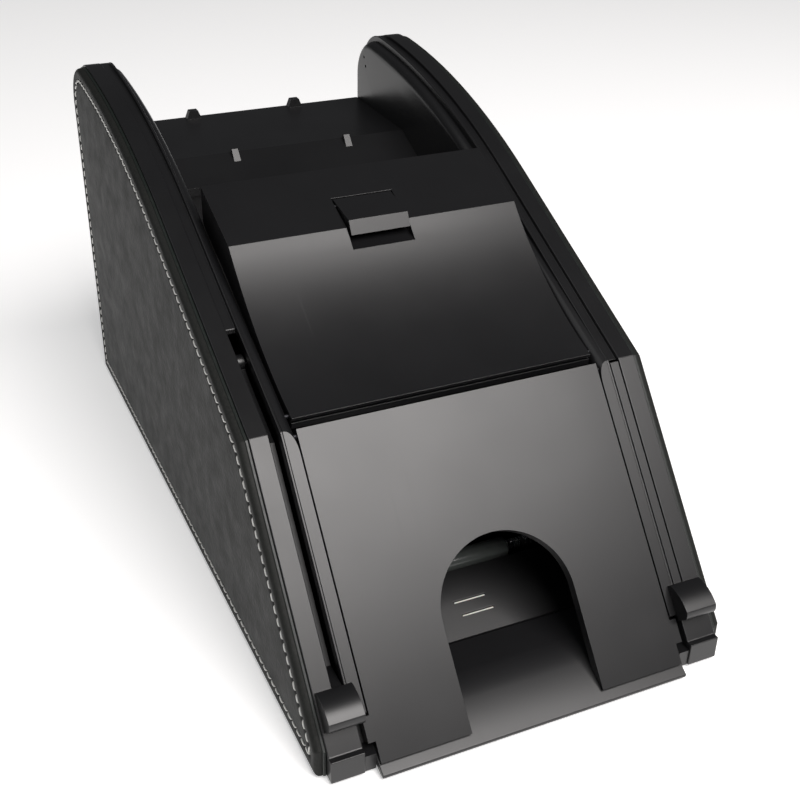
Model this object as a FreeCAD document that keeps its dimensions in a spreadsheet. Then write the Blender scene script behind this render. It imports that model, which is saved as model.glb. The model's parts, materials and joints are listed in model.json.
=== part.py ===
"""Automatic card shuffler with a dealing-shoe front, as separate pieces.

Frame: +Z up, +Y towards the rear, +X to the right seen from the front, millimetres.
The origin is the middle of the footprint, on the surface that the rubber feet stand on.

Side outlines are drawn with "back" distances, measured from the front edge of the card lip,
so every body that uses them is placed at Y = -half_length.
"""
import FreeCAD
import Part
import Sketcher

import math
import os
import re

Vector = FreeCAD.Vector

# ---------------------------------------------------------------- driving dimensions
DIMENSIONS = {
    "full_length": 262.0,        # lip edge to rear edge of the side housings
    "half_length": 131.0,
    # widths, as distances from the middle plane
    "cover_half": 50.0,          # front plate, lid, trays and deck
    "inner_face": 50.5,          # inner face of the inner side plates
    "plate_skin": 3.5,           # thickness of the inner side plates
    "housing_face": 54.0,
    "housing_side": 64.2,
    "board_side": 65.2,
    "leather_side": 67.5,
    # side outline of the wings
    "wing_bottom": 1.0,
    "foot_front": 4.0,
    "foot_top": 8.8,
    "break_back": 64.4,
    "break_up": 77.5,
    "steep_angle": 49.6,
    "slope_angle": 23.5,
    "crown_back": 145.0,
    "crown_radius": 277.0,
    "corner_radius": 17.5,
    "rim_wall": 3.0,
    "side_wall": 2.2,
    "leather_inset": 0.8,
    "leather_front": 8.0,
    "inner_drop": 2.4,           # how far the inner plates' crown lies below the housings'
    "inner_round": 3.2,
    "channel_deep": 1.4,         # the groove along the housings' slope and crown
    # catch levers and their slots
    "slot_near": 54.9,
    "slot_far": 58.3,
    "lever_side_gap": 0.25,
    "lever_pin_back": 96.0,
    "lever_pin_drop": 6.5,
    "lever_pin_radius": 1.1,
    "lever_boss": 2.6,
    "lever_depth": 6.0,
    "lever_sunk": 7.0,           # depth of the left lever's arm in its open slot
    "lever_under": 5.6,          # depth of the right lever's arm under the slope
    "knob_inner": 52.75,
    "knob_outer": 63.5,
    "knob_low": 7.0,             # along the steep face, from the level of the foot top
    "knob_long": 11.0,
    # front plate, measured along the steep face from its lower edge
    "cover_low": 4.5,
    "cover_skin": 3.5,
    "ear_half": 52.2,
    "ear_low": 6.3,
    "ear_high": 13.6,
    "arch_half": 21.8,
    "arch_high": 53.5,
    "pivot_radius": 0.9,
    "running_gap": 0.05,
    # lid
    "lid_front_back": 67.8,
    "lid_front_up": 79.0,
    "crease_back": 121.5,
    "crease_up": 110.6,
    "lid_rear_back": 149.0,
    "lid_rear_up": 120.3,
    "lid_hollow_radius": 128.0,
    "lid_skin": 2.5,
    "lid_skirt_up": 107.5,
    "lid_pivot_back": 71.0,
    "lid_pivot_up": 78.0,
    "tab_half": 10.25,
    "tab_gap": 0.5,
    # card path
    "drive_angle": 20.0,
    "drive_back": 80.8,
    "drive_up": 20.9,
    "path_high": 6.5,            # height of the card path above the drive line
    "path_skin": 2.5,
    "tray_lip_round": 85.0,      # the lip is slightly crowned
    "tray_break_back": 12.0,
    "tray_break_up": 7.9,
    "tray_roll": 24.8,           # and rolls over into the tray's floor
    "tray_crest_back": 22.0,
    "tray_crest_up": 9.7,
    "tray_edge_back": 34.6,
    "tray_edge_up": 8.2,
    "hopper_wall_back": 202.0,
    "deck_up": 106.8,
    "deck_skin": 3.0,
    "deck_front": 213.3,
    "deck_rear": 259.6,
    "apron_back": 198.0,         # lower edge of the slope in front of the deck
    "apron_up": 100.5,
    # base
    "base_low": 2.2,
    "base_skin": 2.6,
    "base_front": 35.0,
    "base_rear": 256.6,
    "flange_up": 13.0,
    "flange_skin": 2.3,
    # drive train
    "tooth_size": 1.0,
    "gear_inner": 56.0,
    "gear_wide": 4.0,
    "roller_radius": 3.5,
    "roller_half": 18.5,
    "roller_shaft": 2.0,
    "feed_radius": 8.0,
    "feed_wide": 12.0,
    "feed_pitch": 28.0,
    "feed_shaft": 2.5,
    "idler_pin": 1.5,
    "motor_radius": 12.0,
    "motor_drop": 40.0,          # degrees below level, from the rear feed shaft to the motor
    # rear panel fittings
    "switch_across": -28.0,
    "switch_up": 60.0,
    "inlet_across": 6.0,
    "inlet_up": 24.0,
    "foot_radius": 6.0,
    "notch_top": 15.6,
    "slot_low": 10.6,
    "slot_end_back": 102.3,
    "knob_proud": 6.5,
    "knob_dome": 12.0,
    "cover_bevel": 6.2,
    "pivot_inset": 1.9,
    "pivot_bore_deep": 6.0,
    "roller_angle": 8.0,
    "path_start": -15.5,
    "bush_small": 4.0,
    "bush_large": 4.5,
    "tie_front_back": 118.0,
    "tie_front_up": 16.0,
    "tie_rear_back": 226.0,
    "tie_rear_up": 92.0,
    "tie_radius": 3.0,
    "tie_end": 2.0,
    "side_screw": 1.5,
    "side_screw_up": 9.0,
    "motor_boss": 3.0,
    "motor_screw": 1.2,
    "motor_shaft": 1.0,
    "motor_long": 28.0,
    "bracket_half": 12.6,
    "peep_back": 251.8,
    "peep_up": 125.7,
    "board_inset": 0.5,
    "leather_edge": 1.3,
    "tab_pin": 0.8,
    "ramp_rear_back": 55.0,
    "ramp_rear_up": 18.6,
    "slit_back": 41.0,
    "slit_pitch": 4.2,
    "slit_half": 5.5,
    "slit_wide": 0.7,
    "light_guide": 0.4,
    "panel_screw_across": 44.0,
    "panel_screw": 1.4,
    "peg_across": 21.5,
    "front_peg_across": 22.5,
    "front_peg_shift": 3.5,      # the front pair stands a little to the right
    "peg_high": 3.2,
    "board_up": 10.0,
    "switch_half_wide": 10.0,
    "switch_half_high": 8.0,
    "switch_wall": 1.4,
    "inlet_half_wide": 6.0,
    "inlet_half_high": 3.0,
    "rocker_back": 256.4,
    "rocker_tilt": 8.0,
    "tooth_slack": 0.2,
}

TEETH = {"delivery": 18, "idler": 24, "feed": 30, "pinion": 12}

doc = FreeCAD.newDocument("card_shuffler")
sheet = doc.addObject("Spreadsheet::Sheet", "Sizes")
for row, (alias, number) in enumerate(DIMENSIONS.items(), start=1):
    sheet.set(f"A{row}", str(number))
    sheet.setAlias(f"A{row}", alias)
doc.recompute()

NODES = {}


# ---------------------------------------------------------------- helpers
def bound(formula):
    """The formula as an expression: each dimension gets the sheet's name in front."""
    def with_sheet(match):
        word = match.group(0)
        return "Sizes." + word if word in DIMENSIONS else word
    return re.sub(r"[a-z][a-z_]*", with_sheet, str(formula))


def value(formula):
    """The formula's value in millimetres or degrees."""
    return float(sheet.evalExpression(bound(formula)))


def place(thing, across="0", back="0", up="0", turn=None):
    """Binds the place of a piece; turn is (axis, angle formula)."""
    if turn:
        axis, angle = turn
        thing.Placement = FreeCAD.Placement(Vector(0, 0, 0), FreeCAD.Rotation(axis, value(angle)))
        thing.setExpression("Placement.Rotation.Angle", bound(f"({angle}) * 1 deg"))
    thing.setExpression("Placement.Base.x", bound(across))
    thing.setExpression("Placement.Base.y", bound(f"({back}) - half_length"))
    thing.setExpression("Placement.Base.z", bound(up))


def keep(label, thing):
    """Names a finished piece."""
    thing.Label = label
    NODES[label] = thing
    return thing


def add_side(sketch, start, end, radius):
    """Adds one side of an outline; returns its number and which of its ends come first and last."""
    if radius is None:
        return sketch.addGeometry(Part.LineSegment(start, end), False), 1, 2
    chord = end - start
    sag = abs(radius) - math.sqrt(max(radius ** 2 - (chord.Length / 2) ** 2, 0))
    right = Vector(chord.y, -chord.x, 0).normalize()
    middle = (start + end) / 2 + right * math.copysign(sag, radius)
    if radius > 0:
        return sketch.addGeometry(Part.Arc(start, middle, end), False), 1, 2
    return sketch.addGeometry(Part.Arc(end, middle, start), False), 2, 1


def new_sketch(body, plane, offset):
    """An empty sketch on one of the body's own planes, moved along the plane's normal."""
    sketch = body.newObject("Sketcher::SketchObject", "Sketch")
    origin_plane = next(f for f in body.Origin.OriginFeatures if f.Role == plane)
    sketch.AttachmentSupport = [(origin_plane, "")]
    sketch.MapMode = "FlatFace"
    sketch.setExpression("AttachmentOffset.Base.z", bound(offset))
    return sketch


def outline(body, plane, corners, arcs=None, offset="0"):
    """A closed sketch through corners, which are pairs of formulas.

    arcs gives {side number: radius formula}: positive bulges to the right of the way round,
    negative to the left. Every corner and radius is bound to the sheet.
    """
    arcs = arcs or {}
    sketch = new_sketch(body, plane, offset)
    points = [Vector(value(a), value(b), 0) for a, b in corners]
    count = len(points)
    sides = []
    for number, start in enumerate(points):
        radius = value(arcs[number]) if number in arcs else None
        sides.append(add_side(sketch, start, points[(number + 1) % count], radius))
    for number, (side, first, last) in enumerate(sides):
        for kind, formula in zip(("DistanceX", "DistanceY"), corners[number]):
            index = sketch.addConstraint(Sketcher.Constraint(kind, side, first, value(formula)))
            sketch.setExpression(f"Constraints[{index}]", bound(formula))
        after, after_first, after_last = sides[(number + 1) % count]
        sketch.addConstraint(Sketcher.Constraint("Coincident", side, last, after, after_first))
        if number in arcs:
            radius = f"abs({arcs[number]})"
            index = sketch.addConstraint(Sketcher.Constraint("Radius", side, value(radius)))
            sketch.setExpression(f"Constraints[{index}]", bound(radius))
    return sketch


def circle(body, plane, centre, radius, offset="0"):
    """A round sketch with its centre and radius bound to the sheet."""
    sketch = new_sketch(body, plane, offset)
    middle = Vector(value(centre[0]), value(centre[1]), 0)
    ring = sketch.addGeometry(Part.Circle(middle, Vector(0, 0, 1), value(radius)), False)
    for kind, formula in zip(("DistanceX", "DistanceY"), centre):
        index = sketch.addConstraint(Sketcher.Constraint(kind, ring, 3, value(formula)))
        sketch.setExpression(f"Constraints[{index}]", bound(formula))
    index = sketch.addConstraint(Sketcher.Constraint("Radius", ring, value(radius)))
    sketch.setExpression(f"Constraints[{index}]", bound(radius))
    return sketch


def new_body(label):
    return keep(label, doc.addObject("PartDesign::Body", "Body"))


def extrude(body, kind, sketch, length):
    """A Pad or Pocket from the sketch's plane, along the plane's positive normal."""
    feature = body.newObject("PartDesign::" + kind, kind)
    feature.Profile = sketch
    feature.Reversed = kind == "Pocket"
    feature.setExpression("Length", bound(length))
    return feature


def pad(body, sketch, length):
    return extrude(body, "Pad", sketch, length)


def pocket(body, sketch, length):
    return extrude(body, "Pocket", sketch, length)


def slab(label, across, width, corners, arcs=None):
    """A piece with one outline in the side view, extruded across from a distance."""
    body = new_body(label)
    pad(body, outline(body, "YZ_Plane", corners, arcs), width)
    place(body, across)
    return body


def round_edges(body, radius, wanted):
    """Fillets the edges of the body whose two ends both satisfy wanted(point in the body's frame)."""
    doc.recompute()
    shape = body.Tip.Shape
    names = []
    for number, edge in enumerate(shape.Edges, start=1):
        ends = [vertex.Point for vertex in edge.Vertexes]
        if ends and all(wanted(end) for end in ends):
            names.append(f"Edge{number}")
    base = body.Tip
    fillet = body.newObject("PartDesign::Fillet", "Rounding")
    fillet.Base = (base, names)
    fillet.setExpression("Radius", bound(radius))


def box(start, end):
    """A Part::Box between two corners of (across, back, up) formulas."""
    thing = doc.addObject("Part::Box", "Box")
    for name, low, high in zip(("Length", "Width", "Height"), start, end):
        thing.setExpression(name, bound(f"({high}) - ({low})"))
    place(thing, *start)
    return thing


def rod(across, back, up, radius, length):
    """A Part::Cylinder that runs across the machine."""
    thing = doc.addObject("Part::Cylinder", "Rod")
    thing.setExpression("Radius", bound(radius))
    thing.setExpression("Height", bound(length))
    place(thing, across, back, up, (Vector(0, 1, 0), "90"))
    return thing


def post(across, back, up, radius, length, turn=None):
    """A Part::Cylinder that stands up, or is turned from upright."""
    thing = doc.addObject("Part::Cylinder", "Post")
    thing.setExpression("Radius", bound(radius))
    thing.setExpression("Height", bound(length))
    place(thing, across, back, up, turn)
    return thing


def fuse(*things):
    result = doc.addObject("Part::MultiFuse", "Fuse")
    result.Shapes = list(things)
    return result


def cut(base, *tools):
    result = doc.addObject("Part::Cut", "Cut")
    result.Base = base
    result.Tool = fuse(*tools) if len(tools) > 1 else tools[0]
    return result


def group(label, things):
    """Several separate solids that are one node."""
    result = doc.addObject("Part::Compound", "Group")
    result.Links = things
    return keep(label, result)


# ---------------------------------------------------------------- shared outlines
HALF_TURN = "(steep_angle - slope_angle) / 2"
MEAN_ANGLE = "(steep_angle + slope_angle) / 2"
CROWN_UP = "(break_up + (crown_back - break_back) * tan(slope_angle))"
CROWN_CENTRE_BACK = "(crown_back + crown_radius * sin(slope_angle))"
CROWN_CENTRE_UP = f"({CROWN_UP} - crown_radius * cos(slope_angle))"


def steep_back(up, inset="0"):
    """How far back the steep face is at a height, or a line inset behind it."""
    return f"break_back - (break_up - ({up})) / tan(steep_angle) + ({inset}) / sin(steep_angle)"


def break_corner(inset="0"):
    """The corner between the steep face and the upper slope, inset by the same amount from both."""
    return (f"break_back + ({inset}) * sin({MEAN_ANGLE}) / cos({HALF_TURN})",
            f"break_up - ({inset}) * cos({MEAN_ANGLE}) / cos({HALF_TURN})")


def crown_start(inset="0"):
    return (f"crown_back + ({inset}) * sin(slope_angle)",
            f"{CROWN_UP} - ({inset}) * cos(slope_angle)")


def crown_end(inset, rear_inset):
    """Where the crown arc meets the rear edge, before that corner is rounded."""
    reach = f"(full_length - ({rear_inset}) - {CROWN_CENTRE_BACK})"
    return (f"full_length - ({rear_inset})",
            f"{CROWN_CENTRE_UP} + sqrt((crown_radius - ({inset}))^2 - {reach}^2)")


def wing(front_corners, bottom, inset, crown_inset=None, rear_inset=None):
    """A wing's outline and arcs: the front's lower corners, steep face, slope, crown and rear.

    The crown and the rear edge have their own insets where they differ from the front's.
    """
    crown_inset = crown_inset or inset
    rear_inset = rear_inset or inset
    corners = [*front_corners,
               break_corner(inset),
               crown_start(crown_inset),
               crown_end(crown_inset, rear_inset),
               (f"full_length - ({rear_inset})", bottom)]
    return corners, {len(front_corners) + 1: f"-(crown_radius - ({crown_inset}))"}


def steep_point(along, out):
    """A point beside the steep face: along it from the foot's top, and out from it."""
    return (f"{steep_back('foot_top')} + ({along}) * cos(steep_angle) - ({out}) * sin(steep_angle)",
            f"foot_top + ({along}) * sin(steep_angle) + ({out}) * cos(steep_angle)")


def slope_point(back, inset):
    """A point below the upper slope at a distance back."""
    return (back, f"break_up + (({back}) - break_back) * tan(slope_angle) - ({inset}) / cos(slope_angle)")


def span(side, near, far):
    """Where a piece on one side starts, and how wide it is, from two distances off the middle."""
    return (near if side == "right" else f"-({far})"), f"({far}) - ({near})"


def past(side, start, near, far):
    """How far a feature on one side lies from the start of its body."""
    return f"{span(side, near, far)[0]} - ({start})"


def round_rear_corner(body, inset, radius):
    """Rounds the top rear corner of a wing outline whose rear edge is inset by a known amount."""
    rear = value(f"full_length - ({inset})")
    middle = value("(break_up + wing_bottom) / 2")
    round_edges(body, radius, lambda point: abs(point.y - rear) < 0.01 and point.z > middle)


# ---------------------------------------------------------------- drive line
def drive_point(along):
    """A point on the drive line, which the idlers and the feed shafts lie on."""
    return (f"(drive_back + ({along}) * cos(drive_angle))", f"(drive_up + ({along}) * sin(drive_angle))")


def mesh_distance(first, second):
    return f"(tooth_size * {(TEETH[first] + TEETH[second]) / 2})"


FRONT_FEED_ALONG = mesh_distance("idler", "feed")
REAR_IDLER_ALONG = f"({FRONT_FEED_ALONG} * 2)"
REAR_FEED_ALONG = f"({FRONT_FEED_ALONG} * 3)"
FRONT_IDLER = ("drive_back", "drive_up")
FRONT_FEED = drive_point(FRONT_FEED_ALONG)
REAR_IDLER = drive_point(REAR_IDLER_ALONG)
REAR_FEED = drive_point(REAR_FEED_ALONG)
ROLLER = (f"(drive_back - {mesh_distance('delivery', 'idler')} * cos(roller_angle))",
          f"(drive_up - {mesh_distance('delivery', 'idler')} * sin(roller_angle))")
MOTOR = (f"({REAR_FEED[0]} + {mesh_distance('feed', 'pinion')} * cos(motor_drop))",
         f"({REAR_FEED[1]} - {mesh_distance('feed', 'pinion')} * sin(motor_drop))")
SHAFTS = {"delivery": (ROLLER, "roller_shaft", "bush_small"),
          "front_feed": (FRONT_FEED, "feed_shaft", "bush_large"),
          "rear_feed": (REAR_FEED, "feed_shaft", "bush_large")}
TIE_RODS = (("tie_front_back", "tie_front_up"), ("tie_rear_back", "tie_rear_up"))
SIDE_SCREWS = [(back, "side_screw_up") for back in ("62", "140", "235")]
LEVER_PIN = slope_point("lever_pin_back", "lever_pin_drop")
STEEP_LONG = "((break_up - foot_top) / sin(steep_angle))"


# ---------------------------------------------------------------- wings
def bore(body, centre, radius, start, length):
    """A round hole along the machine's width, from a distance past the body's own origin."""
    pocket(body, circle(body, "YZ_Plane", centre, radius, start), length)


def inner_side_plate(side):
    """The flat plate between the card space and a side housing, with a broadly rounded top edge."""
    foot_back = "foot_front + 0.6"
    notch = "cover_skin + 0.9"
    front = [(foot_back, "wing_bottom"),
             (foot_back, "foot_top - 2.2"),
             (steep_back("foot_top - 2.2", notch), "foot_top - 2.2"),
             (steep_back("notch_top", notch), "notch_top"),
             (steep_back("notch_top"), "notch_top")]
    corners, arcs = wing(front, "wing_bottom", "0", "inner_drop", "0.6")
    start, width = span(side, "inner_face", "housing_face")
    body = slab(f"inner_side_plate_{side}", start, width, corners, arcs)
    round_rear_corner(body, "0.6", "corner_radius - 1.5")
    inner = 0.0 if side == "right" else value(width)
    lowest = value("break_up") - 0.01
    round_edges(body, "inner_round", lambda point: abs(point.x - inner) < 0.01 and point.z > lowest)
    for centre, _, bush in SHAFTS.values():
        bore(body, centre, bush, "0", width)
    for centre in TIE_RODS:
        bore(body, centre, "tie_end", "0", width)
    for centre in SIDE_SCREWS:
        bore(body, centre, "side_screw", "0", width)
    bore(body, LEVER_PIN, "lever_pin_radius", "0", width)
    for centre in (COVER_PIVOT, LID_PIVOT):
        bore(body, centre, "pivot_radius", "0", width)
    if side == "right":
        bore(body, FRONT_IDLER, "idler_pin", "0", width)
        bore(body, REAR_IDLER, "idler_pin", "0", width)
        bore(body, MOTOR, "motor_boss + 0.2", "0", width)
        for turn in (-1, 1):
            bore(body, motor_screw(turn), "motor_screw", "0", width)
        for step in (0, 1):
            bore(body, (f"peep_back - {step} * 1.6", f"peep_up - {step} * 3.4"), "0.6", "0", "1.5")


def side_housing(side):
    """The hollow moulded side: a shallow channel along its top, and the catch's slot.

    The inner plate closes its inside. The left slot runs up the slope as far as the lever's pin,
    and the right one only up the steep face.
    """
    front = [("foot_front", "wing_bottom"),
             ("foot_front", "foot_top"),
             (steep_back("foot_top"), "foot_top")]
    corners, arcs = wing(front, "wing_bottom", "0")
    start, width = span(side, "housing_face", "housing_side")
    body = slab(f"side_housing_{side}", start, width, corners, arcs)
    floor = "wing_bottom + rim_wall"
    hollow_back = steep_back("foot_top", "rim_wall")
    corners, arcs = wing([(hollow_back, floor), (hollow_back, "foot_top")], floor, "rim_wall")
    hollow = outline(body, "YZ_Plane", corners, arcs,
                     past(side, start, "housing_face", "housing_side - side_wall"))
    pocket(body, hollow, "housing_side - side_wall - housing_face")
    round_rear_corner(body, "rim_wall", "corner_radius - rim_wall")
    round_rear_corner(body, "0", "corner_radius")
    channel = [break_corner("-1"), crown_start("-1"), crown_end("-1", "-1"),
               crown_end("channel_deep", "-1"), crown_start("channel_deep"), break_corner("channel_deep")]
    slot = [steep_point("slot_low", "1"), steep_point("slot_low", "-(rim_wall + 1)")]
    if side == "left":
        slot += [break_corner("rim_wall + 1"), slope_point("slot_end_back", "rim_wall + 1"),
                 slope_point("slot_end_back", "-1"), break_corner("-1")]
    else:
        slot += [steep_point(STEEP_LONG, "-(rim_wall + 1)"), steep_point(STEEP_LONG, "1")]
    across = past(side, start, "slot_near", "slot_far")
    channel_arcs = {1: "-(crown_radius + 1)", 3: "crown_radius - channel_deep"}
    pocket(body, outline(body, "YZ_Plane", channel, channel_arcs, across), "slot_far - slot_near")
    pocket(body, outline(body, "YZ_Plane", slot, None, across), "slot_far - slot_near")


def leather_front_up(inset):
    """The height where the inset steep line meets the leather's short upright front."""
    return f"break_up - (break_back + ({inset}) / sin(steep_angle) - leather_front) * tan(steep_angle)"


def backing_board(side):
    """The thin board that the leather panel is stretched over."""
    inset = "board_inset"
    front = [("leather_front - 0.6", "wing_bottom"),
             ("leather_front - 0.6", f"{leather_front_up(inset)} - 0.6 * tan(steep_angle)")]
    corners, arcs = wing(front, "wing_bottom", inset)
    start, width = span(side, "housing_side", "board_side")
    body = slab(f"backing_board_{side}", start, width, corners, arcs)
    round_rear_corner(body, inset, "corner_radius")


def leather_panel(side):
    """The padded leather panel on the outside of a wing, with rounded outer edges."""
    front = [("leather_front", "wing_bottom"),
             ("leather_front", leather_front_up("leather_inset"))]
    corners, arcs = wing(front, "wing_bottom", "leather_inset")
    start, width = span(side, "board_side", "leather_side")
    body = slab(f"leather_panel_{side}", start, width, corners, arcs)
    round_rear_corner(body, "leather_inset", "corner_radius")
    outer = value("leather_side - board_side") if side == "right" else 0.0
    round_edges(body, "leather_edge", lambda point: abs(point.x - outer) < 0.01)


# ---------------------------------------------------------------- front plate, lid and catches
COVER_LONG = "((break_up - cover_low) / sin(steep_angle))"
COVER_PIVOT_ALONG = f"({COVER_LONG} - pivot_inset)"
COVER_PIVOT = (f"({steep_back('cover_low')} + {COVER_PIVOT_ALONG} * cos(steep_angle)"
               " + cover_skin / 2 * sin(steep_angle))",
               f"(cover_low + {COVER_PIVOT_ALONG} * sin(steep_angle) - cover_skin / 2 * cos(steep_angle))")
LID_PIVOT = ("lid_pivot_back", "lid_pivot_up")
TAB_PIVOT = ("(crease_back + 11.1)", "(crease_up + 2.9)")


def front_plate():
    """The sloping front with its arched finger cut-out, ears beside the catches, and pivot bores.

    Its own frame lies in its outer face: Y up the slope, Z outwards.
    """
    body = new_body("front_plate")
    sides = [("0", "0"), (COVER_LONG, "0"), (COVER_LONG, "-cover_skin"), ("cover_bevel", "-cover_skin")]
    pad(body, outline(body, "YZ_Plane", sides, None, "-cover_half"), "2 * cover_half")
    ears = [("ear_low", "0"), ("ear_high", "0"), ("ear_high", "-cover_skin"), ("ear_low", "-cover_skin")]
    pad(body, outline(body, "YZ_Plane", ears, None, "-ear_half"), "2 * ear_half")
    shoulder = "arch_high - arch_half"
    arch = [("-arch_half", "-5"), ("arch_half", "-5"), ("arch_half", shoulder), ("0", "arch_high"),
            ("-arch_half", shoulder)]
    quarter = {2: "arch_half", 3: "arch_half"}
    pocket(body, outline(body, "XY_Plane", arch, quarter, "-cover_skin - 1"), "cover_skin + 2")
    for start in ("-cover_half", "cover_half - pivot_bore_deep"):
        bore(body, (COVER_PIVOT_ALONG, "-cover_skin / 2"), "pivot_radius + running_gap", start,
             "pivot_bore_deep")
    place(body, "0", steep_back("cover_low"), "cover_low", (Vector(1, 0, 0), "steep_angle"))


def lid_top(back):
    """The height of the lid's flat rear part."""
    rise = "(lid_rear_up - crease_up) / (lid_rear_back - crease_back)"
    return f"crease_up + (({back}) - crease_back) * {rise}"


def lid():
    """The deep lid: a hollow front slope over a lipped front edge, a sharp crease, a flat rear,
    and the latch's recess.
    """
    corners = [("lid_front_back", "lid_front_up"),
               ("crease_back", "crease_up"),
               ("lid_rear_back", "lid_rear_up"),
               ("lid_rear_back", "lid_skirt_up"),
               ("lid_front_back + 0.6", "lid_front_up - 3.8"),
               ("lid_front_back + 0.3", "lid_front_up - 1.8"),
               ("lid_front_back + 1.3", "lid_front_up - 1.8"),
               ("lid_front_back + 1.3", "lid_front_up - 1.1"),
               ("lid_front_back + 0.2", "lid_front_up - 1.1")]
    body = slab("lid", "-cover_half", "2 * cover_half", corners, {0: "lid_hollow_radius"})
    rear_inside = "lid_rear_back - lid_skin"
    inside = [("lid_front_back + 12.2", "lid_front_up + 1.8"),
              ("crease_back + 1.4", "crease_up - 2.2"),
              (rear_inside, f"{lid_top(rear_inside)} - lid_skin * 1.06"),
              (rear_inside, "lid_skirt_up - 8"),
              ("lid_front_back + 12.2", "lid_front_up - 9")]
    pocket(body, outline(body, "YZ_Plane", inside, {0: "lid_hollow_radius + lid_skin"}, "lid_skin"),
           "2 * (cover_half - lid_skin)")
    boss = [("crease_back - 9", "crease_up - 8.3"),
            ("crease_back", "crease_up - 1.3"),
            ("crease_back + 15.5", "crease_up + 3.9"),
            ("crease_back + 15.5", "crease_up - 2.6"),
            ("crease_back + 2.5", "crease_up - 9.6"),
            ("crease_back - 9", "crease_up - 11.6")]
    boss_half = "tab_half + 3.25"
    pad(body, outline(body, "YZ_Plane", boss, None, f"cover_half - ({boss_half})"), f"2 * ({boss_half})")
    recess = [("crease_back + 13.7", "lid_rear_up"),
              ("crease_back + 13.7", "crease_up + 1.3"),
              ("crease_back + 2.5", "crease_up - 2.6"),
              ("crease_back - 1.7", "crease_up - 4.7"),
              ("crease_back - 6", "crease_up - 5.3"),
              ("crease_back - 8", "lid_rear_up")]
    recess_half = "tab_half + tab_gap"
    pocket(body, outline(body, "YZ_Plane", recess, None, f"cover_half - ({recess_half})"),
           f"2 * ({recess_half})")
    for start in ("0", "2 * cover_half - pivot_bore_deep"):
        bore(body, LID_PIVOT, "pivot_radius + running_gap", start, "pivot_bore_deep")
    bore(body, TAB_PIVOT, "tab_pin", "cover_half - tab_half - 3", "2 * (tab_half + 3)")


def latch_tab():
    corners = [("crease_back + 13.1", "crease_up + 4.6"),
               ("crease_back - 0.5", "crease_up + 2.6"),
               ("crease_back - 2.9", "crease_up - 1.6"),
               ("crease_back - 0.9", "crease_up - 2.2"),
               ("crease_back + 2", "crease_up - 0.6"),
               ("crease_back + 13.1", "crease_up + 2")]
    body = slab("latch_tab", "-tab_half", "2 * tab_half", corners)
    bore(body, TAB_PIVOT, "tab_pin + running_gap", "0", "2 * tab_half")


def catch_lever(side):
    """A long lever pinned at its top end, with a thumb knob at its foot.

    The left one is sunk in an open slot. The right one fills its slot on the steep face, and
    passes under the housing's slope to its pin.
    """
    lip = "0.2"
    knob_top = "knob_low + knob_long"
    if side == "left":
        sunk = "lever_sunk"
        front = [steep_point(f"{knob_top} + 5.5", f"-({sunk})"),
                 steep_point(f"{knob_top} - 0.6", f"-{lip}")]
        under = steep_point(f"{knob_top} + 4", f"-({sunk} + lever_depth)")
    else:
        sunk = "lever_under"
        front = [steep_point(f"{STEEP_LONG} - 2.2", f"-({sunk})"),
                 steep_point(f"{STEEP_LONG} - 0.8", f"-{lip}")]
        under = steep_point(f"{STEEP_LONG} - 12", "-lever_depth")
    deep = f"{sunk} + lever_depth"
    boss_reach = "lever_boss * cos(slope_angle)"
    corners = [slope_point(f"lever_pin_back + {boss_reach}", "lever_pin_drop"),
               slope_point("lever_pin_back - lever_boss * sin(slope_angle)", "lever_pin_drop - lever_boss"),
               slope_point(f"lever_pin_back - {boss_reach}", "lever_pin_drop"),
               slope_point("lever_pin_back - 6", sunk),
               break_corner(sunk),
               *front,
               steep_point("slot_low + 0.5", f"-{lip}"),
               steep_point("slot_low + 0.5", "-lever_depth"),
               under,
               break_corner(deep),
               slope_point("lever_pin_back", deep)]
    near = "slot_near + lever_side_gap"
    far = "slot_far - lever_side_gap"
    start, width = span(side, near, far)
    body = slab(f"catch_lever_{side}", start, width, corners, {0: "lever_boss", 1: "lever_boss"})
    lift = "0.25"
    knob = [steep_point("knob_low", lift),
            steep_point("knob_low", "knob_proud - 2.1"),
            steep_point("knob_low + 2.2", "knob_proud"),
            steep_point("knob_low + knob_long", "1.2"),
            steep_point("knob_low + knob_long", lift)]
    knob_sketch = outline(body, "YZ_Plane", knob, {1: "-3", 2: "-knob_dome"},
                          past(side, start, "knob_inner", "knob_outer"))
    pad(body, knob_sketch, "knob_outer - knob_inner")
    neck = [steep_point("slot_low + 0.5", "-1"),
            steep_point("slot_low + 0.5", "1"),
            steep_point("knob_low + knob_long - 1", "1"),
            steep_point("knob_low + knob_long - 1", "-1")]
    pad(body, outline(body, "YZ_Plane", neck), width)
    bore(body, LEVER_PIN, "lever_pin_radius + running_gap", "0", width)


def pins():
    """The short steel pins that the front plate, the lid, the catches and the latch turn on."""
    for label, centre in (("front_plate_pins", COVER_PIVOT), ("lid_hinge_pins", LID_PIVOT)):
        reach = "housing_face - cover_half + pivot_bore_deep - 0.2"
        group(label, [rod("-housing_face", *centre, "pivot_radius", reach),
                      rod("cover_half - pivot_bore_deep + 0.2", *centre, "pivot_radius", reach)])
    reach = "housing_side - side_wall - inner_face"
    group("catch_pins", [rod("side_wall - housing_side", *LEVER_PIN, "lever_pin_radius", reach),
                         rod("inner_face", *LEVER_PIN, "lever_pin_radius", reach)])
    keep("latch_pin", rod("-(tab_half + 2.9)", *TAB_PIVOT, "tab_pin", "2 * (tab_half + 2.9)"))


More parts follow.
